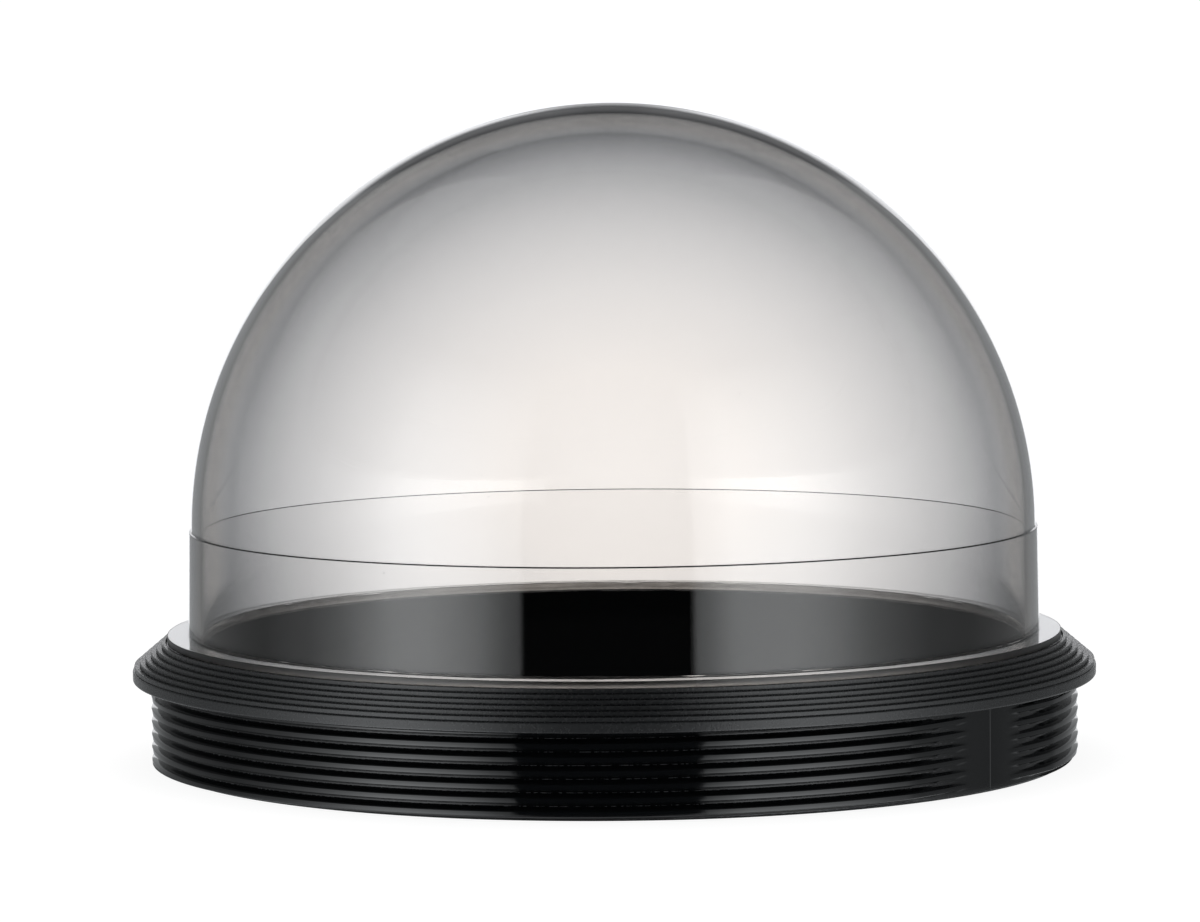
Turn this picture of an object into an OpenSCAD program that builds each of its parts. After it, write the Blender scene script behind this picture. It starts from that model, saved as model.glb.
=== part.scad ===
// Smoked dome cover on a screw-in ring, for a dome surveillance camera.
// Millimetres, +Z up. The origin is the centre of the ring's foot, and the dome's axis is Z.

/* [Dome] */
// Outer radius of the spherical cap
dome_r = 76.9; // [74:0.1:78]
// Height of the cap's centre, where the straight skirt begins
dome_centre_z = 42.5; // [36:0.5:60]
// Wall thickness of the cap
dome_wall = 1.8; // [1.2:0.1:1.8]
// How far the skirt stands proud of the cap at the mould line
mould_step = 0.4; // [0.2:0.1:0.8]
// How much wider the skirt is at its foot than at the mould line
skirt_draft = 0.3; // [0.1:0.05:0.6]
// Outer radius of the dome's flange
flange_r = 81.5; // [80:0.1:81.5]
// Thickness of the dome's flange
flange_t = 1.2; // [0.8:0.1:1.8]

/* [Screw ring] */
// Radius of the bore that holds the camera, through the ring and the dome's skirt alike
bore_r = 75; // [70:0.5:75]
// Outer radius of the neck that carries the trim ring
neck_r = 81.6; // [81.5:0.05:81.7]
// Height of the ring, from its foot to the face that the dome is bonded to
ring_h = 22.2; // [20:0.1:26]
// Height of the shoulder's top, where the trim ring sits
seat_z = 16.2; // [15.8:0.1:16.8]
// Outer radius of the shoulder
shoulder_r = 83.6; // [83.2:0.1:83.8]
// Thickness of the shoulder
shoulder_t = 1.2; // [0.8:0.1:1.6]
// Thickness of the ring's inner wall
inner_wall = 2; // [1.5:0.1:2.5]
// Thickness of the neck's outer wall
neck_wall = 1.4; // [1:0.1:1.8]
// Thickness of the web under the bonding face
web_t = 2.4; // [1.6:0.1:3]
// Number of ribs that brace the two walls
rib_count = 24; // [12:2:36]
// Thickness of each rib
rib_t = 1.6; // [1:0.1:2]
// Chamfer round the foot's outer edge
foot_chamfer = 0.4; // [0.2:0.1:0.8]

/* [Thread] */
// Radius over the thread's crests
crest_r = 84.5; // [84:0.1:85]
// Radius at the thread's root
root_r = 82.9; // [82.5:0.1:83.2]
// Rise in one turn
pitch = 2.315; // [2:0.005:2.6]
// Height of the lowest crest on the +X side
crest_phase_z = 2.4; // [0:0.1:2.4]
// Width of the ridge where it leaves the root
ridge_base_w = 2.1; // [1.8:0.05:2.2]
// Width of the ridge's crest
ridge_crest_w = 0.45; // [0.3:0.05:0.8]
// Direction of the mould line that interrupts the thread, in degrees from +X
mould_line_angle = -38; // [-90:1:90]
// Half the width of the smooth band at each mould line, in degrees
smooth_half = 6; // [3:1:10]
// Length over which the thread runs out, in degrees
run_out = 9; // [5:1:15]

/* [Trim ring] */
// Outer radius of the trim ring
trim_r = 87.8; // [87:0.1:90]
// Height of the trim ring's lip, which covers the rim of the housing
lip_z = 15.5; // [14.5:0.1:15.8]
// Gap between the trim ring's bore and the ring's neck
trim_gap = 0.2; // [0.1:0.05:0.3]
// Height of the trim ring, from its lip to its top
trim_h = 6.95; // [6:0.05:8]
// Height of the plain band round its rim
band_h = 1.9; // [1.5:0.1:2.5]
// Chamfer at the band's upper edge
band_shoulder = 0.25; // [0.1:0.05:0.4]
// Chamfer at the band's lower edge
band_edge = 0.35; // [0.2:0.05:0.6]
// Number of ribs on its sloping face
trim_ribs = 6; // [4:1:8]
// Part of a rib's height that its upright face takes
rib_face = 0.85; // [0.6:0.05:0.95]
// Depth of the groove under each rib's face
groove_depth = 0.2; // [0.1:0.05:0.4]

/* [Sealant] */
// Thickness of the sealant between the dome and the ring
bond_t = 0.2; // [0.1:0.05:0.4]
// Width of the chamfer inside the dome's foot that the sealant fills
fillet_w = 0.5; // [0.3:0.1:0.8]
// Height of that chamfer
fillet_h = 1.3; // [0.6:0.1:2]

/* [Hidden] */
$fn = 160;
eps = 0.01;

dome_base_z = ring_h + bond_t;
skirt_r = dome_r + mould_step;
cap_bore_r = dome_r - dome_wall;

channel_inner_r = bore_r + inner_wall;
channel_outer_r = neck_r - neck_wall;
channel_h = ring_h - web_t;

ridge_sink = 0.4;
steps_per_turn = 72;
step_angle = 360 / steps_per_turn;
crest_point_r = (crest_r + 0.03) / cos(step_angle / 2);
thread_top_z = seat_z - shoulder_t;
turns_up = ceil(thread_top_z / pitch) + 1;

trim_bore_r = neck_r + trim_gap;
rebate_r = crest_r + trim_gap;
trim_top_z = lip_z + trim_h;
rib_rise = (trim_h - band_h) / trim_ribs;
rib_run = (trim_r - trim_bore_r) / trim_ribs;

// A ring with a plain rectangular section, from z0 to z1
module tube(inner, outer, z0, z1) {
    translate([0, 0, z0]) difference() {
        cylinder(r = outer, h = z1 - z0);
        translate([0, 0, -1]) cylinder(r = inner, h = z1 - z0 + 2);
    }
}

// The part of a sphere about the cap's centre that lies above a height
module cap(r, z0) {
    intersection() {
        translate([0, 0, dome_centre_z]) sphere(r = r);
        translate([0, 0, z0]) cylinder(r = r + 5, h = r + 1);
    }
}

// Smoked cover: a spherical cap on a straight skirt, with a bonding flange at its foot
module dome_bubble() {
    skirt_h = dome_centre_z - dome_base_z;
    color([0.42, 0.41, 0.40, 0.45]) difference() {
        union() {
            cap(dome_r, dome_centre_z - eps);
            translate([0, 0, dome_base_z]) cylinder(r1 = skirt_r + skirt_draft, r2 = skirt_r, h = skirt_h);
            translate([0, 0, dome_base_z]) cylinder(r = flange_r, h = flange_t);
        }
        cap(cap_bore_r, dome_centre_z);
        translate([0, 0, dome_base_z - 1]) cylinder(r = bore_r, h = skirt_h + 2);
        translate([0, 0, dome_base_z]) cylinder(r1 = bore_r + fillet_w, r2 = bore_r, h = fillet_h);
    }
}

// Clear sealant: a thin bed under the flange, and the fillet inside the dome's foot
module flange_sealant() {
    bed_r = flange_r - 0.1;
    color([0.45, 0.42, 0.38, 0.7]) rotate_extrude()
        polygon([
            [bore_r, ring_h],
            [bed_r, ring_h],
            [bed_r, dome_base_z],
            [bore_r + fillet_w, dome_base_z],
            [bore_r, dome_base_z + fillet_h]
        ]);
}

// How much of the thread's height is left at an angle: 0 at the mould lines, 1 clear of them
function thread_height(angle) =
    let (from_line = abs(((angle - mould_line_angle + 90) % 180 + 180) % 180 - 90),
         t = min(1, max(0, (from_line - smooth_half) / run_out)))
    t * t * (3 - 2 * t);

// The four corners of the ridge's section at an angle along the helix
function ridge_section(angle) =
    let (inner = root_r - ridge_sink,
         height = max(0.2, (crest_point_r - inner) * thread_height(angle)),
         crest_half = ridge_crest_w / 2 + (ridge_base_w - ridge_crest_w) / 2 * (1 - thread_height(angle)) * 0.6,
         z = crest_phase_z + pitch * angle / 360)
    [for (p = [[inner, -ridge_base_w / 2], [inner + height, -crest_half],
               [inner + height, crest_half], [inner, ridge_base_w / 2]])
        [p[0] * cos(angle), p[0] * sin(angle), z + p[1]]];

// One continuous right-hand ridge, longer than the ring at both ends
module thread_ridge() {
    first = -2 * steps_per_turn;
    last = turns_up * steps_per_turn;
    count = last - first + 1;
    points = [for (i = [first:last]) each ridge_section(i * step_angle)];
    sides = [for (i = [0:count - 2], k = [0:3])
        let (a = 4 * i + k, b = 4 * i + (k + 1) % 4)
        each [[a, b, a + 4], [b, b + 4, a + 4]]];
    polyhedron(points, concat(sides, [[3, 2, 1, 0]], [[for (k = [0:3]) 4 * (count - 1) + k]]));
}

// The thread, cut level with the foot and the shoulder, with true cylindrical crests
module thread() {
    intersection() {
        thread_ridge();
        tube(root_r - 1, crest_r, foot_chamfer, thread_top_z + eps);
    }
}

// Moulded collar: a bored inner wall, a threaded outer wall, a web on top and ribs between
module screw_ring() {
    color([0.03, 0.03, 0.035]) difference() {
        union() {
            cylinder(r1 = root_r - foot_chamfer, r2 = root_r, h = foot_chamfer);
            translate([0, 0, foot_chamfer]) cylinder(r = root_r, h = thread_top_z - foot_chamfer + eps);
            translate([0, 0, thread_top_z]) cylinder(r = shoulder_r, h = shoulder_t);
            cylinder(r = neck_r, h = ring_h);
            thread();
        }
        translate([0, 0, -1]) cylinder(r = bore_r, h = ring_h + 2);
        difference() {
            tube(channel_inner_r, channel_outer_r, -1, channel_h);
            for (i = [0:rib_count - 1])
                rotate(i * 360 / rib_count)
                    translate([bore_r, -rib_t / 2, -2]) cube([neck_r - bore_r, rib_t, ring_h]);
        }
    }
}

// Outline of the trim ring's sloping face: for each rib a tread, an upright face and a groove under it
function trim_slope() =
    [for (i = [0:trim_ribs - 1])
        let (face_r = trim_bore_r + (i + 0.7) * rib_run, z = trim_top_z - i * rib_rise)
        each [[face_r - 0.1 * rib_run, z],
              [face_r, z - 0.1 * rib_rise],
              [face_r, z - rib_face * rib_rise],
              [face_r - groove_depth, z - rib_rise]]];

// Ribbed matt trim that hides the joint with the housing and lifts off over the dome
module trim_ring() {
    color([0.13, 0.135, 0.14]) rotate_extrude()
        polygon(concat(
            [[trim_bore_r, seat_z], [trim_bore_r, trim_top_z]],
            trim_slope(),
            [[trim_r - band_shoulder, lip_z + band_h], [trim_r, lip_z + band_h - band_shoulder]],
            [[trim_r, lip_z + band_edge], [trim_r - band_edge, lip_z]],
            [[rebate_r, lip_z], [rebate_r, seat_z]]
        ));
}

dome_bubble();
flange_sealant();
screw_ring();
trim_ring();
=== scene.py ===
"""Looks of the smoked dome cover: a clear bubble on a screw-in ring, in a light tent with a slit."""

import math

import bmesh
import bpy
import numpy as np
from mathutils import Matrix, Vector

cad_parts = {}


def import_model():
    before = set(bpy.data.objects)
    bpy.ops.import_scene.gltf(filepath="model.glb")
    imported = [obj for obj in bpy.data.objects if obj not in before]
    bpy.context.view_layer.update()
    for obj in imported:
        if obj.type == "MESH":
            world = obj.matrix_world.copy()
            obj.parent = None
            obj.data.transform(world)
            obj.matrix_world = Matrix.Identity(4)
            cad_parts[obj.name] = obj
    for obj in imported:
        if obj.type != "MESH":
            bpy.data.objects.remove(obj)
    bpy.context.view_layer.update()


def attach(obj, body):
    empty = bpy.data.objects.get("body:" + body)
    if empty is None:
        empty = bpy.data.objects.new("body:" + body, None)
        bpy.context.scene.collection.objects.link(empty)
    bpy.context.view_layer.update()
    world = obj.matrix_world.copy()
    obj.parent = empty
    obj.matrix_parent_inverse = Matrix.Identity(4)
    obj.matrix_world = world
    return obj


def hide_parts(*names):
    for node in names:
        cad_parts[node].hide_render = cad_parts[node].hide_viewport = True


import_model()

MM = 0.001

# Sizes in millimetres and angles in degrees from +X, the same as in the part's source
DOME_R, DOME_WALL, DOME_CENTRE_Z = 76.9, 1.8, 42.5
MOULD_STEP, SKIRT_DRAFT = 0.4, 0.3
FLANGE_R, FLANGE_T = 81.5, 1.2
BORE_R, NECK_R, RING_H = 75.0, 81.6, 22.2
SEAT_Z, SHOULDER_R, SHOULDER_T = 16.2, 83.6, 1.2
INNER_WALL, NECK_WALL, WEB_T = 2.0, 1.4, 2.4
RIB_COUNT, RIB_T, FOOT_CHAMFER = 24, 1.6, 0.4
CREST_R, ROOT_R, PITCH, CREST_PHASE_Z = 84.5, 82.9, 2.315, 2.4
MOULD_LINE_ANGLE = -38.0
TRIM_R, LIP_Z, TRIM_GAP, TRIM_H, BAND_H = 87.8, 15.5, 0.2, 6.95, 1.9
TRIM_RIBS, RIB_FACE, GROOVE = 6, 0.85, 0.2
BOND_T, FILLET_W, FILLET_H = 0.2, 0.5, 1.3

# How much wider the dome's skirt is inside at its foot than at the mould line, so that it leaves its core
INNER_DRAFT = 0.2

# The thread is smooth this far from a mould line, then rises to its full height over the run-out.
# The part's source has 6 and 9 degrees, so both are at full height 15 degrees from the line.
SMOOTH_HALF, RUN_OUT = 4.5, 10.5

DOME_BASE_Z = RING_H + BOND_T
SKIRT_R = DOME_R + MOULD_STEP
CAP_BORE_R = DOME_R - DOME_WALL
THREAD_TOP_Z = SEAT_Z - SHOULDER_T
TRIM_BORE_R = NECK_R + TRIM_GAP
REBATE_R = CREST_R + TRIM_GAP
TRIM_TOP_Z = LIP_Z + TRIM_H

# The thread's section, going down from a crest: a crowned land, a steep flank, a narrow root, a long flank
THREAD_DEPTH = CREST_R - ROOT_R
LAND, LAND_DROP = 0.87, 0.07
ROOT_TOP, ROOT_FOOT = 1.30, 1.55
# Shifts of the section whose mean rounds its corners
EASING = (-0.03, 0.0, 0.03)
# Distances below a crest at which the mesh has a row
STATIONS = np.array([2.28, 1.9, 1.6, 1.5, 1.34, 1.26, 1.05, 0.89, 0.81, 0.65, 0.45, 0.25, 0.04])
# Height of the flash at a mould line, and half its width in degrees
FLASH_H, FLASH_HALF = 0.08, 0.06

# The flat that the gate left on the flange's rim: its two ends and its depth
GATE_START, GATE_END, GATE_DEPTH = -83.7, -80.2, 0.09


# ---------------------------------------------------------------- meshes

def new_object(name, vertices, faces):
    mesh = bpy.data.meshes.new(name)
    mesh.from_pydata(vertices, [], faces)
    piece = bpy.data.objects.new(name, mesh)
    bpy.context.scene.collection.objects.link(piece)
    return piece


def rounded(corners, steps=5, support=0.05):
    """Closed outline through (r, z, radius) corners, with a supporting point before and after each arc."""
    points = []
    for i, (r, z, radius) in enumerate(corners):
        here = Vector((r, z))
        if radius == 0:
            points.append(here)
            continue
        to_last = (Vector(corners[i - 1][:2]) - here).normalized()
        to_next = (Vector(corners[(i + 1) % len(corners)][:2]) - here).normalized()
        half = to_last.angle(to_next) / 2
        reach = radius / math.tan(half)
        centre = here + (to_last + to_next).normalized() * (radius / math.sin(half))
        start = (here + to_last * reach - centre).normalized()
        end = (here + to_next * reach - centre).normalized()
        points.append(here + to_last * (reach + support))
        points += [centre + start.slerp(end, k / steps) * radius for k in range(steps + 1)]
        points.append(here + to_next * (reach + support))
    return np.array([(p.x, p.y) for p in points])


def arc(radius, centre_z, start, end, steps):
    """Points on a circle about (0, centre_z), by elevation in degrees."""
    sweep = np.radians(np.linspace(start, end, steps))
    return np.stack([radius * np.cos(sweep), centre_z + radius * np.sin(sweep)], -1)


def full_turn(segments, extra=()):
    """Angles from 0 to a full turn, in radians, with extra ones given in degrees."""
    even = np.linspace(0, 2 * math.pi, segments + 1)
    return np.unique(np.concatenate([even, np.radians(extra) % (2 * math.pi)]))


def revolve(name, outline_at, angles):
    """Turns a closed outline about Z. outline_at(angle) gives its (r, z) points, as many at each angle."""
    columns = np.array([outline_at(angle) for angle in angles])
    r, z, turn = columns[..., 0], columns[..., 1], angles[:, None]
    vertices = np.stack([r * np.cos(turn), r * np.sin(turn), z], -1).reshape(-1, 3) * MM
    rows = columns.shape[1]
    here = np.arange((len(angles) - 1) * rows).reshape(-1, rows)
    above = np.roll(here, -1, axis=1)
    faces = np.stack([here, here + rows, above + rows, above], -1).reshape(-1, 4)
    piece = new_object(name, vertices.tolist(), faces.tolist())
    clean(piece)
    return piece


def clean(piece, weld=1e-6, sharp=35):
    """Welds coincident points, turns the faces outward and shades smooth up to an angle in degrees."""
    made = bmesh.new()
    made.from_mesh(piece.data)
    bmesh.ops.remove_doubles(made, verts=made.verts, dist=weld)
    bmesh.ops.recalc_face_normals(made, faces=made.faces)
    made.to_mesh(piece.data)
    made.free()
    piece.data.polygons.foreach_set("use_smooth", [True] * len(piece.data.polygons))
    piece.data.set_sharp_from_angle(angle=math.radians(sharp))


def ripple(angle, *waves):
    """Sum of sines round a full turn, from (count, size, phase) rows."""
    return sum(size * np.sin(count * angle + phase) for count, size, phase in waves)


# ---------------------------------------------------------------- materials

class Graph:
    """The nodes of a material or a world, with a method for each kind that several of them use."""

    def __init__(self, owner):
        owner.use_nodes = True
        self.nodes, self.links = owner.node_tree.nodes, owner.node_tree.links

    def feed(self, inputs, values):
        """Sets each named input, or links it where its value is another node's output."""
        for name, value in values.items():
            if isinstance(value, bpy.types.NodeSocket):
                self.links.new(value, inputs[name])
            else:
                inputs[name].default_value = value

    def add(self, kind, values=None, **settings):
        """Makes a node and gives its outputs."""
        made = self.nodes.new("ShaderNode" + kind)
        for name, value in settings.items():
            setattr(made, name, value)
        self.feed(made.inputs, values or {})
        return made.outputs

    def place(self):
        return self.add("TexCoord")["Object"]

    def axes(self):
        return self.add("SeparateXYZ", {"Vector": self.place()})

    def length(self, vector):
        return self.add("VectorMath", {0: vector}, operation="LENGTH")["Value"]

    def math(self, operation, first, second=0):
        return self.add("Math", {0: first, 1: second}, operation=operation)["Value"]

    def product(self, first, *others):
        for other in others:
            first = self.math("MULTIPLY", first, other)
        return first

    def from_axis(self):
        """Distance from the Z axis."""
        axes = self.axes()
        across, along = self.product(axes["X"], axes["X"]), self.product(axes["Y"], axes["Y"])
        return self.math("SQRT", self.math("ADD", across, along))

    def noise(self, scale, detail=2.0):
        return self.add("TexNoise", {"Vector": self.place(), "Scale": scale, "Detail": detail})["Fac"]

    def spread(self, source, low, high, from_low=0.3, from_high=0.7):
        """Goes from low to high while the source goes over its own range, and stays level beyond it."""
        return self.add("MapRange", {"Value": source, "From Min": from_low, "From Max": from_high,
                                     "To Min": low, "To Max": high})["Result"]

    def curve(self, source, stops):
        """A number read from (position, value) stops, with positions from 0 to 1."""
        made = self.nodes.new("ShaderNodeValToRGB")
        elements = made.color_ramp.elements
        elements[0].position, elements[1].position = stops[0][0], stops[-1][0]
        for position, _ in stops[1:-1]:
            elements.new(position)
        for element, (_, value) in zip(elements, stops):
            element.color = (value, value, value, 1)
        self.feed(made.inputs, {"Fac": source})
        return made.outputs["Color"]

    def mix(self, amount, first, second):
        return self.add("MixRGB", {"Fac": amount, "Color1": first, "Color2": second})["Color"]

    def bump(self, height, distance, strength=1.0):
        return self.add("Bump", {"Height": height, "Distance": distance, "Strength": strength})["Normal"]


def new_material(name):
    made = bpy.data.materials.new(name)
    graph = Graph(made)
    return made, graph, graph.nodes["Principled BSDF"].inputs


def smoked_material():
    """Polished smoked polycarbonate with a few dust specks, and a rim that is left as it was trimmed."""
    made, graph, shader = new_material("smoked_polycarbonate")
    rim = graph.spread(graph.from_axis(), 0, 1, (FLANGE_R - 0.25) * MM, (FLANGE_R - 0.1) * MM)
    from_speck = graph.add("TexVoronoi", {"Vector": graph.place(), "Scale": 110})["Distance"]
    clear = graph.product(graph.spread(from_speck, 0.6, 1.0, 0.012, 0.022),
                          graph.spread(rim, 1, 0.35, 0, 1))
    graph.feed(shader, {
        "Base Color": graph.add("CombineColor", {"Red": clear, "Green": clear, "Blue": clear})["Color"],
        "Roughness": graph.product(rim, 0.35),
        "Transmission Weight": 1,
        "IOR": 1.585,
    })
    absorb = graph.add("VolumeAbsorption", {"Color": (0.60, 0.57, 0.54, 1), "Density": 200})
    graph.feed(graph.nodes["Material Output"].inputs, {"Volume": absorb["Volume"]})
    return made


def painted_root_highlight(graph):
    """1 along a thin broken line at the root of the thread, where a highlight is painted into the colour,
    and 0 elsewhere.
    """
    axes = graph.axes()
    turns = graph.math("DIVIDE", graph.math("ARCTAN2", axes["Y"], axes["X"]), 2 * math.pi)
    climb = graph.math("DIVIDE", axes["Z"], PITCH * MM)
    down = graph.math("ADD", graph.math("SUBTRACT", turns, climb), CREST_PHASE_Z / PITCH)
    below_crest = graph.math("FRACT", down)
    off_line = graph.math("ABSOLUTE", graph.math("SUBTRACT", below_crest, ROOT_FOOT / PITCH))
    line = graph.spread(off_line, 1, 0, 0.02, 0.03)
    outside = graph.math("GREATER_THAN", graph.from_axis(), (ROOT_R - 0.1) * MM)
    half_turns = graph.math("ADD", graph.product(turns, 2), 0.5 - MOULD_LINE_ANGLE / 180)
    from_line = graph.math("ABSOLUTE", graph.math("SUBTRACT", graph.math("FRACT", half_turns), 0.5))
    on_thread = graph.spread(from_line, 0, 1, SMOOTH_HALF / 180, (SMOOTH_HALF + RUN_OUT) / 180)
    dashes = graph.spread(graph.noise(1500, 3), 0, 1, 0.45, 0.65)
    return graph.product(line, outside, on_thread, dashes)


def gloss_black_material():
    """Polished black moulding, with a painted highlight along the root of the thread and a foot that is
    dull from wear.
    """
    made, graph, shader = new_material("gloss_black_moulding")
    # The grey mixed in along the root of the thread is a painted highlight: a thin light line.
    black, root_highlight_grey = (0.003, 0.0035, 0.004, 1), (0.07, 0.072, 0.075, 1)
    polish = graph.spread(graph.noise(90, 5), 0.03, 0.08)
    foot_wear = graph.spread(graph.axes()["Z"], 0.4, 0, 0.0006, 0.0014)
    graph.feed(shader, {
        "Base Color": graph.mix(painted_root_highlight(graph), black, root_highlight_grey),
        "Roughness": graph.math("ADD", polish, foot_wear),
        "IOR": 1.5,
        "Normal": graph.bump(graph.noise(900, 4), 0.00001, 0.5),
    })
    return made


def matt_black_material():
    """Black moulding with a fine spark-eroded texture."""
    made, graph, shader = new_material("matt_textured_moulding")
    graph.feed(shader, {
        "Base Color": (0.018, 0.019, 0.020, 1),
        "Roughness": graph.spread(graph.noise(1500), 0.2, 0.3),
        "IOR": 1.5,
        "Normal": graph.bump(graph.noise(4000, 3), 0.00004),
    })
    return made


def sealant_material():
    """Cured sealant, which lets light through unevenly."""
    made, graph, shader = new_material("cured_sealant")
    grain = graph.noise(500, 4)
    graph.feed(shader, {
        "Base Color": graph.mix(graph.spread(grain, 0, 1), (0.78, 0.75, 0.72, 1), (0.95, 0.93, 0.90, 1)),
        "Roughness": 0.2,
        "Transmission Weight": 0.9,
        "IOR": 1.42,
        "Normal": graph.bump(grain, 0.00003),
    })
    return made


def finish_piece(piece, body, nodes, made):
    piece.data.materials.append(made)
    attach(piece, body)
    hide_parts(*nodes)


# ---------------------------------------------------------------- the pieces

def dome_bubble(made):
    foot_r = SKIRT_R + SKIRT_DRAFT
    top_z = DOME_BASE_Z + FLANGE_T
    seam_low, seam_high = DOME_CENTRE_Z - 0.12, DOME_CENTRE_Z + 0.02
    foot = rounded([
        (CAP_BORE_R, DOME_CENTRE_Z, 0),
        (BORE_R, DOME_CENTRE_Z, 0),
        (BORE_R + INNER_DRAFT, DOME_BASE_Z + FILLET_H, 0.2),
        (BORE_R + FILLET_W, DOME_BASE_Z, 0.05),
        (FLANGE_R, DOME_BASE_Z, 0.1),
        (FLANGE_R, top_z, 0.12),
        (foot_r, top_z, 0.1),
        (SKIRT_R, seam_low, 0.1),
        (DOME_R, seam_high, 0),
    ])
    outside = arc(DOME_R, DOME_CENTRE_Z, 0.1, 90, 120)
    inside = arc(CAP_BORE_R, DOME_CENTRE_Z, 90, 0.1, 120)
    outline = np.concatenate([foot, outside, inside])
    rim = outline[:, 0] > FLANGE_R - 0.3

    def outline_at(angle):
        gate = (angle - math.radians(GATE_START)) % (2 * math.pi) < math.radians(GATE_END - GATE_START)
        return outline - np.stack([rim * GATE_DEPTH * gate, 0 * rim], -1)

    angles = full_turn(300, [GATE_START - 0.03, GATE_START, GATE_END, GATE_END + 0.03])
    piece = revolve("smoked_bubble", outline_at, angles)
    finish_piece(piece, "cover", ["dome_bubble"], made)


def degrees_from_mould_line(angle):
    return abs((math.degrees(angle) - MOULD_LINE_ANGLE + 90) % 180 - 90)


def ridge_height(below):
    """Height of the thread over its root, at a distance below a crest."""
    down = below % PITCH
    land = THREAD_DEPTH - LAND_DROP * (down / LAND) ** 2
    flanks = np.interp(down, [LAND, ROOT_TOP, ROOT_FOOT, PITCH],
                       [THREAD_DEPTH - LAND_DROP, 0, 0, THREAD_DEPTH])
    return np.where(down < LAND, land, flanks)


def thread_wall(angle):
    """The ring's outer wall at an angle, upward. Its rows follow the helix, so its ridges stay sharp."""
    crest_z = CREST_PHASE_Z + PITCH * angle / (2 * math.pi)
    crests = crest_z + PITCH * np.arange(-1, math.ceil(THREAD_TOP_Z / PITCH) + 1)
    z = np.clip((crests[:, None] - STATIONS).ravel(), FOOT_CHAMFER + 0.05, THREAD_TOP_Z)
    height = np.mean([ridge_height(crest_z - z + shift) for shift in EASING], axis=0)
    from_line = degrees_from_mould_line(angle)
    lost = THREAD_DEPTH * (1 - min(1, max(0, (from_line - SMOOTH_HALF) / RUN_OUT)))
    flash = FLASH_H if from_line < FLASH_HALF / 2 else 0
    return np.stack([ROOT_R + np.maximum(0, height - lost) + flash, z], -1)


def screw_ring(made):
    channel_in, channel_out, web_z = BORE_R + INNER_WALL, NECK_R - NECK_WALL, RING_H - WEB_T
    section = rounded([
        (ROOT_R, THREAD_TOP_Z, 0),
        (SHOULDER_R, THREAD_TOP_Z, 0.1),
        (SHOULDER_R, SEAT_Z, 0.1),
        (NECK_R, SEAT_Z, 0.05),
        (NECK_R, RING_H, 0.1),
        (BORE_R, RING_H, 0.12),
        (BORE_R, 0, 0.2),
        (channel_in, 0, 0.2),
        (channel_in, web_z, 0.3),
        (channel_out, web_z, 0.3),
        (channel_out, 0, 0.2),
        (ROOT_R - FOOT_CHAMFER, 0, 0.1),
        (ROOT_R, FOOT_CHAMFER, 0),
    ])
    lines = [MOULD_LINE_ANGLE + side + offset
             for side in (0, 180) for offset in (-FLASH_HALF, 0, FLASH_HALF)]
    piece = revolve("threaded_screw_ring", lambda angle: np.concatenate([section, thread_wall(angle)]),
                    full_turn(480, lines))
    finish_piece(piece, "cover", ["screw_ring"], made)
    channel_ribs(made, channel_in, channel_out, web_z)


def channel_ribs(made, channel_in, channel_out, web_z):
    """The thin ribs under the ring, with the draft that lets them leave the mould."""
    inner, outer, foot = channel_in - 0.1, channel_out + 0.1, 0.3
    vertices, faces = [], []
    for i in range(RIB_COUNT):
        turn = Matrix.Rotation(2 * math.pi * i / RIB_COUNT, 3, "Z")
        base = len(vertices)
        for z, half in ((foot, RIB_T / 2 - 0.2), (foot + 0.2, RIB_T / 2), (web_z + 0.1, RIB_T / 2 + 0.1)):
            vertices += [turn @ Vector((r, side, z)) * MM
                         for r, side in ((inner, -half), (outer, -half), (outer, half), (inner, half))]
        faces.append([base + k for k in (3, 2, 1, 0)])
        faces.append([base + k for k in (8, 9, 10, 11)])
        for low in (base, base + 4):
            faces += [(low + k, low + (k + 1) % 4, low + 4 + (k + 1) % 4, low + 4 + k) for k in range(4)]
    piece = new_object("ring_channel_ribs", vertices, faces)
    finish_piece(piece, "cover", ["screw_ring"], made)


def trim_ring(made):
    rise, run = (TRIM_H - BAND_H) / TRIM_RIBS, (TRIM_R - TRIM_BORE_R) / TRIM_RIBS
    corners = [(REBATE_R, SEAT_Z, 0.1), (TRIM_BORE_R, SEAT_Z, 0.1), (TRIM_BORE_R, TRIM_TOP_Z, 0.03)]
    for i in range(TRIM_RIBS):
        face_r, z = TRIM_BORE_R + (i + 0.7) * run, TRIM_TOP_Z - i * rise
        corners.append((face_r, z, 0.12))
        corners.append((face_r, z - RIB_FACE * rise, 0.03))
        corners.append((face_r - GROOVE, z - rise, 0.03))
    corners.append((TRIM_R, LIP_Z + BAND_H, 0.3))
    corners.append((TRIM_R, LIP_Z, 0.3))
    corners.append((REBATE_R, LIP_Z, 0.05))
    outline = rounded(corners, steps=3, support=0.01)
    piece = revolve("ribbed_trim_ring", lambda angle: outline, full_turn(384))
    finish_piece(piece, "trim", ["trim_ring"], made)


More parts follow.
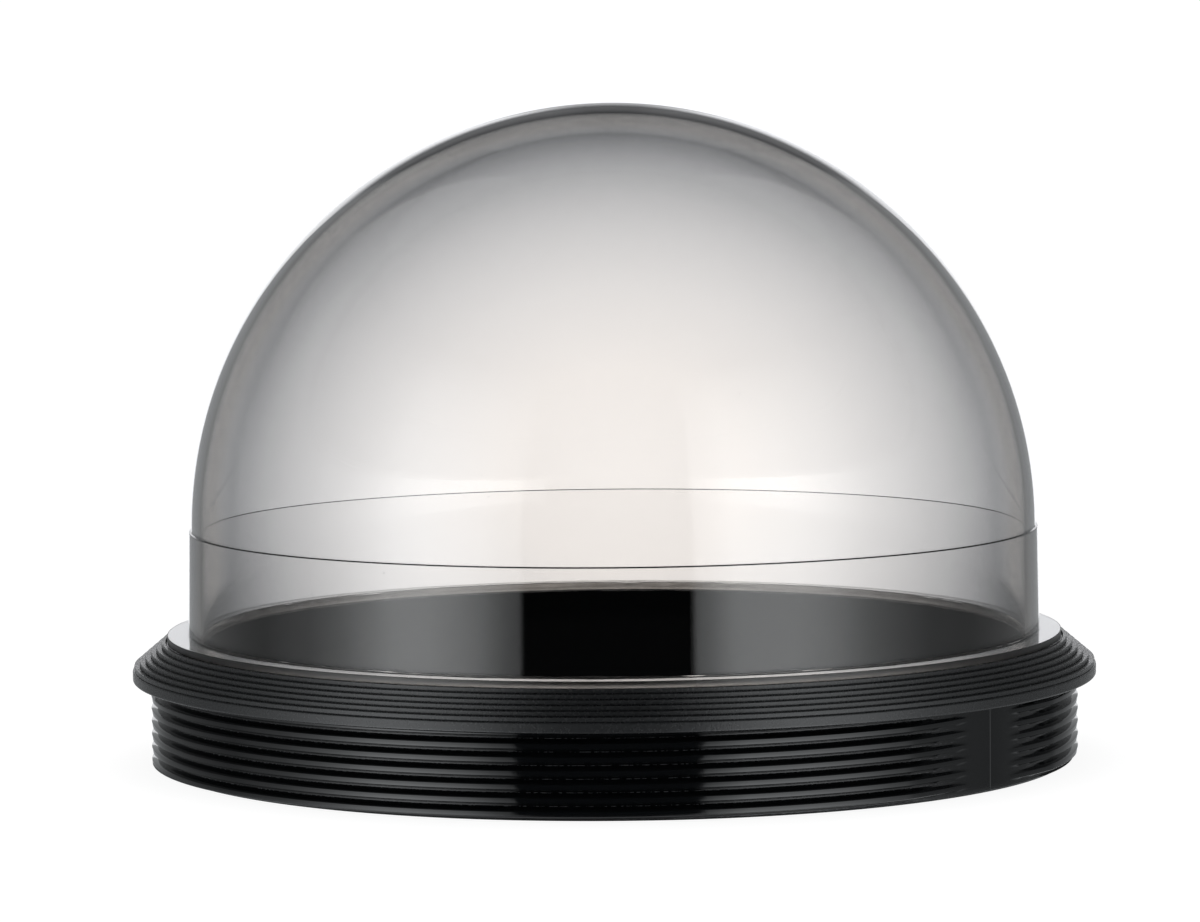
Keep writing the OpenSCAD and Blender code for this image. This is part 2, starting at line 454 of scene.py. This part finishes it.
def sealant_bead(made):
    """The bed under the flange, and the uneven fillet inside the dome's foot."""
    bed_r = FLANGE_R - 0.6
    wall_r, fillet_z = BORE_R + INNER_DRAFT, DOME_BASE_Z + FILLET_H

    def outline_at(angle):
        top = ripple(angle, (7, 0.07, 1), (19, 0.06, 0), (43, 0.04, 2), (97, 0.03, 1))
        foot = ripple(angle, (5, 0.03, 0), (31, 0.04, 1), (61, 0.03, 2), (113, 0.02, 0))
        return np.array([
            (BORE_R + 0.03, RING_H + 0.02),
            (bed_r, RING_H + 0.02),
            (bed_r, DOME_BASE_Z - 0.02),
            (BORE_R + FILLET_W - 0.02, DOME_BASE_Z - 0.02),
            (wall_r + 0.05, DOME_BASE_Z + 0.95),
            (wall_r - 0.02, fillet_z + 0.05 + top),
            (wall_r - 0.1, fillet_z + top),
            (BORE_R + 0.02, fillet_z - 0.25 + top),
            (BORE_R - 0.12, DOME_BASE_Z + 0.45),
            (BORE_R - 0.12, RING_H + foot),
            (BORE_R - 0.06, RING_H - 0.08 + foot),
            (BORE_R - 0.01, RING_H - 0.1 + foot),
        ])

    piece = revolve("sealant_bead", outline_at, full_turn(900))
    finish_piece(piece, "cover", ["flange_sealant"], made)


# ---------------------------------------------------------------- stage, lights and camera

def finish_stage(piece, made, unseen_by):
    """Gives a stage object its material, and hides it from some kinds of ray."""
    piece.data.materials.append(made)
    for kind in unseen_by:
        setattr(piece, "visible_" + kind, False)


def emitter(name):
    made = bpy.data.materials.new(name)
    graph = Graph(made)
    graph.nodes.remove(graph.nodes["Principled BSDF"])
    return made, graph


def glow(graph, colour, strength, clear_for=0):
    """Makes an emitter shine, except for the rays where clear_for is 1."""
    shine = graph.add("Emission", {"Color": colour, "Strength": strength})["Emission"]
    clear = graph.add("BsdfTransparent")["BSDF"]
    surface = graph.add("MixShader", {"Fac": clear_for, 1: shine, 2: clear})["Shader"]
    graph.feed(graph.nodes["Material Output"].inputs, {"Surface": surface})


def straight_through(graph):
    """1 for a ray that has passed through the plastic without a reflection, and 0 for any other."""
    path = graph.add("LightPath")
    return graph.product(path["Is Transmission Ray"], graph.math("LESS_THAN", path["Glossy Depth"], 0.5))


def passed(graph):
    """1 for a ray that has passed through the plastic, with or without reflections, and 0 for any other."""
    return graph.math("GREATER_THAN", graph.add("LightPath")["Transmission Depth"], 0.5)


def cooler(graph, amount):
    """A colour from neutral to cool white."""
    return graph.mix(amount, (1.03, 1.0, 0.98, 1), (0.95, 1.0, 1.07, 1))


def tent():
    """A round tent wall, lit from outside by a lamp on each side, with a slit for the lens in front."""
    radius, low, high, half_turn, strength = 0.75, -1.15, 0.78, 162, 3.5
    # Light by the angle from the front in degrees, and by height in metres
    turn_stops = (
        (-162, 0.25), (-140, 0.12), (-103, 0.12), (-85, 0.28), (-75, 0.5), (-66, 0.85), (-58, 1.25),
        (-49, 1.3), (-40, 1.05), (-33.5, 0.79), (-28, 0.46), (-23.5, 0.3), (-22.9, 0.002), (20.3, 0.002),
        (20.9, 0.45), (26, 0.76), (31, 1.12), (38, 1.15), (46.5, 1.17), (56, 0.95), (69, 0.48), (80, 0.28),
        (89, 0.17), (104, 0.11), (140, 0.12), (162, 0.25))
    height_stops = (
        (low, 0), (-0.85, 0.5), (-0.40, 1.0), (-0.14, 0.5), (0.16, 0.45), (0.26, 0.3), (0.52, 0.16),
        (high, 0))
    sweep = np.radians(np.linspace(-half_turn, half_turn, 121))
    vertices = [(radius * math.sin(a), -radius * math.cos(a), z) for a in sweep for z in (low, high)]
    faces = [(2 * k, 2 * k + 2, 2 * k + 3, 2 * k + 1) for k in range(len(sweep) - 1)]
    wall = new_object("light_tent", vertices, faces)
    made, graph = emitter("light_tent")
    axes = graph.axes()
    turn = graph.math("ARCTAN2", axes["X"], graph.product(axes["Y"], -1))
    by_turn = graph.curve(graph.spread(turn, 0, 1, -math.pi, math.pi),
                          [(0.5 + degrees / 360, value) for degrees, value in turn_stops])
    by_height = graph.curve(graph.spread(axes["Z"], 0, 1, low, high),
                            [((z - low) / (high - low), value) for z, value in height_stops])
    glow(graph, (0.95, 0.98, 1.0, 1), graph.product(by_turn, by_height, strength), straight_through(graph))
    finish_stage(wall, made, ("camera", "shadow"))


def backdrop():
    """A lit card behind the dome that only rays through the plastic meet: bright low in the middle."""
    distance, half, foot, top, strength = 0.30, 0.26, -0.06, 0.40, 1.5
    # Light by the distance from the card's brightest point, where 1 is the edge of its ellipse
    stops = [
        (0, 0.97), (0.15, 0.93), (0.28, 0.835), (0.38, 0.713), (0.45, 0.605), (0.5, 0.52), (0.55, 0.42),
        (0.6, 0.325), (0.65, 0.25), (0.7, 0.21), (0.85, 0.19), (1, 0.19)]
    card = new_object("backdrop_card", [(-half, distance, foot), (half, distance, foot),
                                        (half, distance, top), (-half, distance, top)], [(0, 1, 2, 3)])
    made, graph = emitter("backdrop_glow")
    ellipse = graph.add("Mapping", {"Vector": graph.place(), "Location": (0.003, distance, 0.028),
                                    "Scale": (0.197, 1.0, 0.17)}, vector_type="TEXTURE")
    away = graph.length(ellipse["Vector"])
    colour = cooler(graph, graph.spread(away, 0, 1, 0.15, 0.65))
    not_passed = graph.math("SUBTRACT", 1, passed(graph))
    rim = graph.spread(away, 0, 1, 0.95, 1.25)
    glow(graph, colour, graph.product(graph.curve(away, stops), strength),
         graph.math("MAXIMUM", not_passed, rim))
    finish_stage(card, made, ("camera", "diffuse", "shadow"))


def inner_table():
    """The table inside the ring as a dim glowing disc, which the camera sees only through the plastic or
    reflected in it: painted shade for the floor that the ring shades.
    """
    sides, radius, below, strength = 96, 0.0815, -0.0001, 0.02
    turns = [2 * math.pi * k / sides for k in range(sides)]
    rim = [(radius * math.cos(turn), radius * math.sin(turn), below) for turn in turns]
    disc = new_object("inner_table", rim, [tuple(range(sides))])
    made, graph = emitter("inner_table")
    # Painted shade: a faint constant glow in place of the shaded floor inside the ring.
    glow(graph, (1, 1, 1, 1), strength)
    finish_stage(disc, made, ("camera", "shadow"))


def floor():
    """A pale floor that is brightest far from the object; its dimmer glow close to the object is a painted
    contact shadow.
    """
    half, below = 4.0, -0.0002
    sheet = new_object("pale_floor", [(-half, -half, below), (half, -half, below), (half, half, below),
                                      (-half, half, below)], [(0, 1, 2, 3)])
    made, graph, shader = new_material("pale_floor")
    graph.feed(shader, {
        "Base Color": (0.2, 0.2, 0.2, 1),
        "Roughness": 0.9,
        "Specular IOR Level": 0,
        "Emission Color": (1, 1, 1, 1),
        # Painted contact shadow: the glow drops from 1.02 to 0.9 closer than 0.1 m to the floor's centre.
        "Emission Strength": graph.spread(graph.length(graph.place()), 0.9, 1.02, 0.08, 0.1),
    })
    finish_stage(sheet, made, ("glossy", "transmission"))


def world():
    """White where the camera sees it, pale through the plastic, dark in reflections but low at the back."""
    made = bpy.data.worlds.new("studio")
    bpy.context.scene.world = made
    graph = Graph(made)
    seen_directly = 1.05
    ahead = graph.add("SeparateXYZ", {"Vector": graph.add("TexCoord")["Generated"]})

    at_back = graph.spread(ahead["Y"], 0, 1, 0.3, 0.8)
    low = graph.spread(ahead["Z"], 1, 0.08, 0.15, 0.24)
    not_too_low = graph.spread(ahead["Z"], 0.3, 1, -0.3, -0.16)
    off_axis = graph.spread(graph.math("ABSOLUTE", ahead["X"]), 0.4, 1, 0.02, 0.06)
    band = graph.product(low, not_too_low, off_axis)
    reflected = graph.spread(graph.product(at_back, band), 0.04, 1.15, 0, 1)

    pale_behind = graph.spread(ahead["Y"], 0.1, 0.36, -0.2, 0.3)
    darker_above = graph.spread(ahead["Z"], 1, 0.4, 0.05, 0.25)
    less_if_mirrored = graph.spread(straight_through(graph), 0.35, 1, 0, 1)
    through = graph.product(pale_behind, darker_above, less_if_mirrored)

    beyond = graph.add("Mix", {"Factor": passed(graph), "A": reflected, "B": through})["Result"]
    camera_ray = graph.add("LightPath")["Is Camera Ray"]
    graph.feed(graph.nodes["Background"].inputs, {
        "Color": cooler(graph, graph.spread(passed(graph), 0.5, 1, 0, 1)),
        "Strength": graph.add("Mix", {"Factor": camera_ray, "A": beyond, "B": seen_directly})["Result"],
    })


def camera():
    """Stands in front of the object, a little above it, with a long lens."""
    distance, height, lens, sensor_width = 1.03687, 0.13954, 171.12, 36
    pitch, yaw, roll = math.radians(4.705), math.radians(-0.127), math.radians(-0.486)
    forward = Vector((math.sin(yaw) * math.cos(pitch), math.cos(yaw) * math.cos(pitch), -math.sin(pitch)))
    level = Vector((math.cos(yaw), -math.sin(yaw), 0))
    rise = level.cross(forward)
    right = math.cos(roll) * level + math.sin(roll) * rise
    up = math.cos(roll) * rise - math.sin(roll) * level
    data = bpy.data.cameras.new("camera")
    data.lens = lens
    data.sensor_width = sensor_width
    made = bpy.data.objects.new("camera", data)
    bpy.context.scene.collection.objects.link(made)
    turn = Matrix((right, up, -forward)).transposed().to_4x4()
    made.matrix_world = Matrix.Translation((0, -distance, height)) @ turn
    bpy.context.scene.camera = made


camera()
world()
floor()
inner_table()
backdrop()
tent()

dome_bubble(smoked_material())
screw_ring(gloss_black_material())
trim_ring(matt_black_material())
sealant_bead(sealant_material())

bpy.context.scene.view_settings.view_transform = "Standard"
